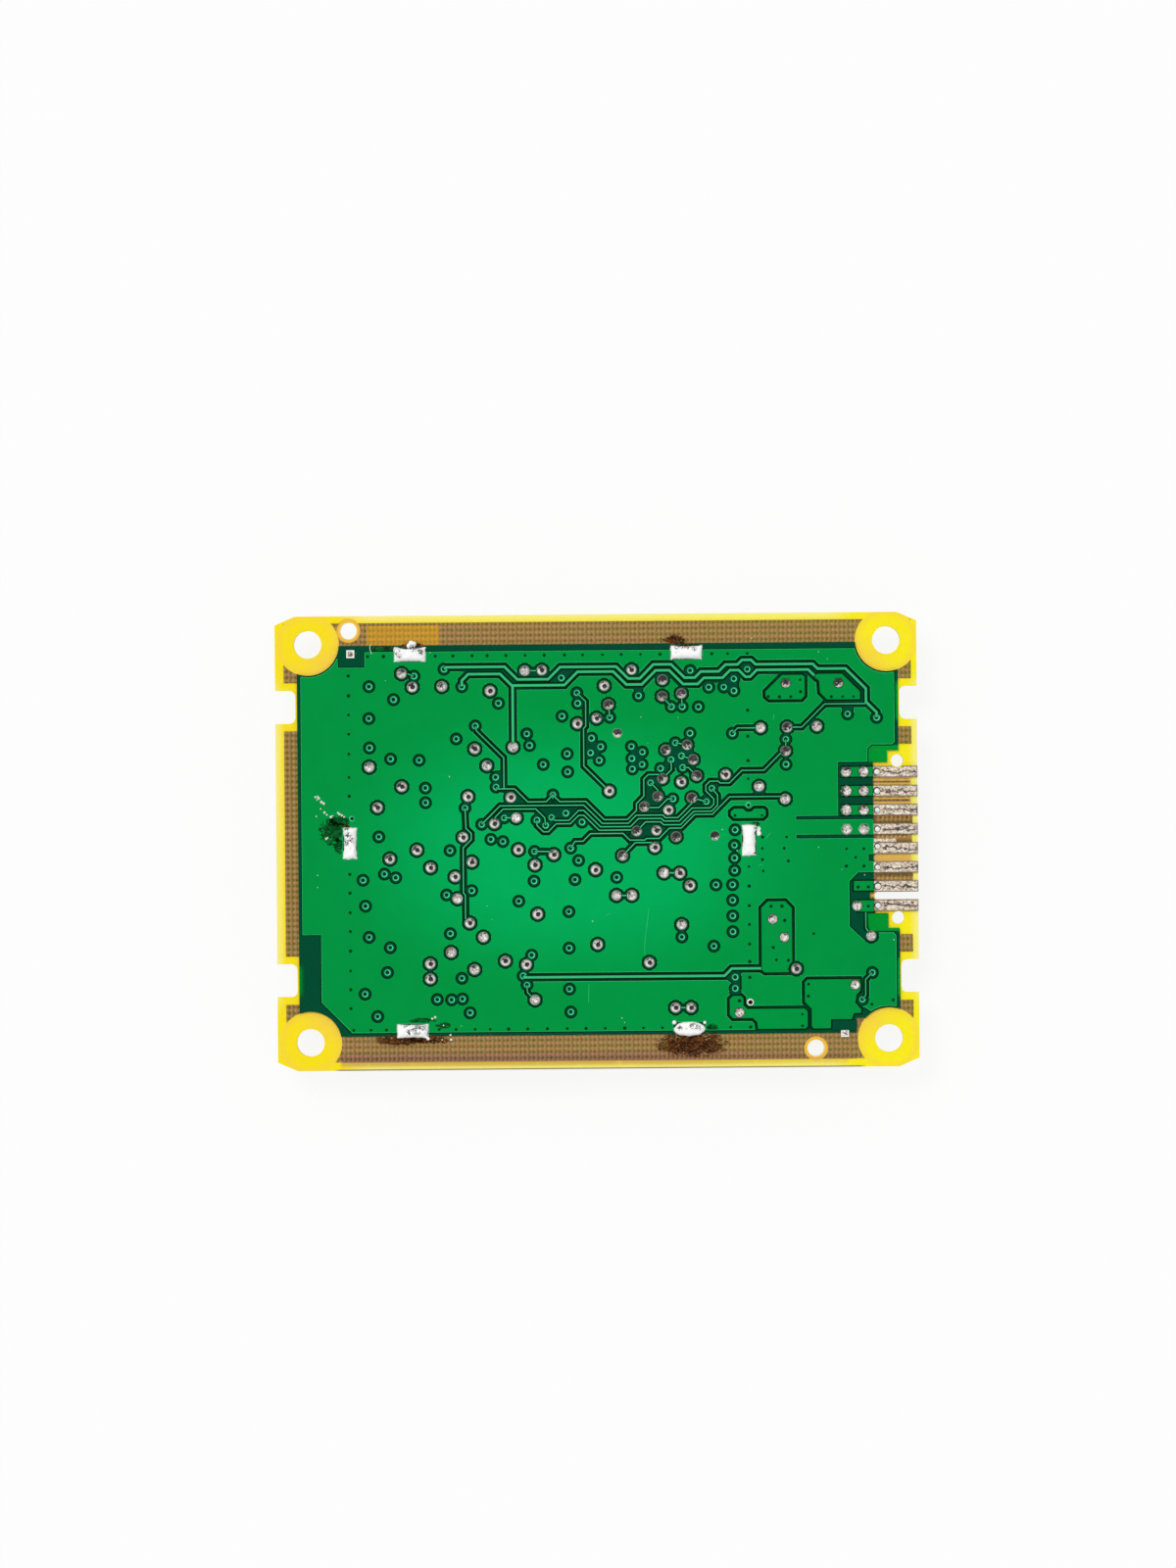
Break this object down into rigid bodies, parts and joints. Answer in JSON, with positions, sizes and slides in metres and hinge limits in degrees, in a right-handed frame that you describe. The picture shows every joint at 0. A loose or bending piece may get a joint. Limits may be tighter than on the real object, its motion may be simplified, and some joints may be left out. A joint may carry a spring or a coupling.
{
  "type": "led control module",
  "caption": "Rectangular circuit board with corner mounting holes, clip notches, an edge connector row and a shield can soldered through to its bare copper side.",
  "frame": {"origin": "on the outer face of the shield lid, under the middle of the board's outline", "axes": "+X along the board towards the contact fingers, +Y across the board along the row of fingers, +Z out of the bare copper side"},
  "size_m": [0.0854, 0.0604, 0.0073],
  "materials": {
    "laminate": "semi-gloss glass-epoxy edge",
    "inner_copper": "woven brown oxide",
    "prepreg": "clear yellow resin",
    "solder_mask": "dark green lacquer",
    "solder_mask_front": "green lacquer",
    "coated_copper": "bright green lacquer over copper",
    "coated_copper_islands": "bright green lacquer over copper",
    "coated_tracks": "pale green lacquer over copper",
    "solder_pads": "levelled solder",
    "fiducial_tin": "levelled solder",
    "contact_tin": "wiped tin",
    "joint_solder": "bright solder",
    "tinned_steel": "tinned sheet",
    "tinned_lid": "tinned sheet",
    "tinned_leads": "matte tin",
    "moulding": "moulded epoxy",
    "chip_ceramic": "fired ceramic",
    "chip_black": "black glaze",
    "ferrite": "sintered ferrite",
    "tantalum_resin": "moulded epoxy"
  },
  "bodies": {
    "root": {"board_core": "laminate", "inner_ground_plane": "inner_copper", "rear_prepreg": "prepreg", "rear_solder_mask": "solder_mask", "front_solder_mask": "solder_mask_front", "rear_ground_pour": "coated_copper", "rear_power_islands": "coated_copper_islands", "rear_signal_tracks": "coated_tracks", "rear_test_pads": "solder_pads", "rear_contact_pads": "solder_pads", "rear_fiducials": "fiducial_tin", "shield_frame": "tinned_steel", "shield_lid": "tinned_lid", "microcontroller_body": "moulding", "microcontroller_leads": "tinned_leads", "led_driver_bodies": "moulding", "led_driver_leads": "tinned_leads", "clock_crystal": "tinned_steel", "chip_capacitors": "chip_ceramic", "chip_resistors": "chip_black", "choke_cups": "ferrite", "choke_drums": "ferrite", "switching_transistors": "moulding", "transistor_tabs": "tinned_leads", "rectifier_diodes": "moulding", "diode_terminals": "tinned_leads", "tantalum_capacitors": "tantalum_resin", "tantalum_terminals": "tinned_leads", "contact_1": "contact_tin", "contact_2": "contact_tin", "contact_3": "contact_tin", "contact_4": "contact_tin", "contact_5": "contact_tin", "contact_6": "contact_tin", "contact_7": "contact_tin", "contact_8": "contact_tin", "shield_joint_1": "joint_solder", "shield_joint_2": "joint_solder", "shield_joint_3": "joint_solder", "shield_joint_4": "joint_solder", "shield_joint_5": "joint_solder", "shield_joint_6": "joint_solder"}
  },
  "joints": []
}
